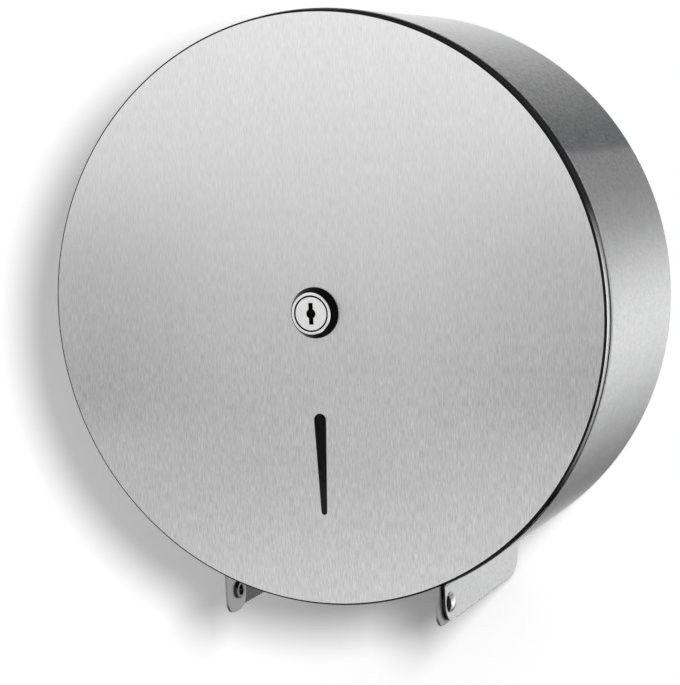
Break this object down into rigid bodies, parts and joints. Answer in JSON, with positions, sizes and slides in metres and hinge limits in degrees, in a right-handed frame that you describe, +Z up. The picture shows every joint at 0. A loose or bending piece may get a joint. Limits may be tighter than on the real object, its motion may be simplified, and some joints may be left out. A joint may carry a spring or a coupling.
{
  "type": "lockable jumbo toilet roll dispenser",
  "caption": "Round wall-mounted steel drum that holds a large toilet roll on a spindle, with a bottom-hinged locking door, a sight slot and a paper outlet between two ears.",
  "frame": {"origin": "on the wall, at the roll axis, which is also the centre of the screw pattern", "axes": "+Z up, -Y out of the wall towards the person, +X to the right of someone who faces the door"},
  "size_m": [0.2772, 0.1196, 0.2846],
  "materials": {
    "door_sheet": "brushed up and down, satin",
    "shell_sheet": "brushed round the roll, satin",
    "plain_sheet": "plain mill finish",
    "rivet_steel": "polished",
    "zinc_steel": "bright zinc plate",
    "lock_chrome": "satin chrome plate",
    "bezel_black": "glossy black",
    "wafer_brass": "plain stamped brass",
    "hub_plastic": "matt dark grey moulding"
  },
  "bodies": {
    "case": {"drum_shell": "shell_sheet", "outlet_ear_left": "shell_sheet", "outlet_ear_right": "shell_sheet", "back_plate": "plain_sheet", "back_rim": "plain_sheet", "door_stops": "plain_sheet", "spindle_flange": "plain_sheet", "spindle_rivets": "zinc_steel", "spindle_tube": "plain_sheet", "catch_plate": "plain_sheet", "hub_clip": "zinc_steel", "hinge_rivet_left": "rivet_steel", "hinge_rivet_right": "rivet_steel", "hinge_washer_left": "zinc_steel", "hinge_washer_right": "zinc_steel"},
    "door": {"door_skin": "door_sheet", "door_lip": "door_sheet", "hinge_bracket": "plain_sheet", "lock_bezel": "bezel_black", "lock_housing": "lock_chrome", "lock_washer": "zinc_steel", "lock_nut": "zinc_steel"},
    "lock_core": {"plug_cap": "lock_chrome", "lock_plug": "zinc_steel", "lock_wafers": "wafer_brass", "plug_clip": "zinc_steel", "lock_cam": "zinc_steel", "cam_washer": "zinc_steel", "cam_screw": "zinc_steel"},
    "hub": {"roll_hub": "hub_plastic", "hub_flange": "hub_plastic"}
  },
  "joints": [
    {"name": "door_hinge", "type": "hinge", "parent": "case", "child": "door", "pos_m": [0, -0.1025, -0.13603], "axis": [1, 0, 0], "range_deg": [0, 175]},
    {"name": "lock_turn", "type": "hinge", "parent": "door", "child": "lock_core", "pos_m": [0, -0.115, 0], "axis": [0, 1, 0], "range_deg": [0, 90]},
    {"name": "hub_spin", "type": "hinge", "parent": "case", "child": "hub", "pos_m": [0, -0.05, 0], "axis": [0, 1, 0], "continuous": true}
  ]
}
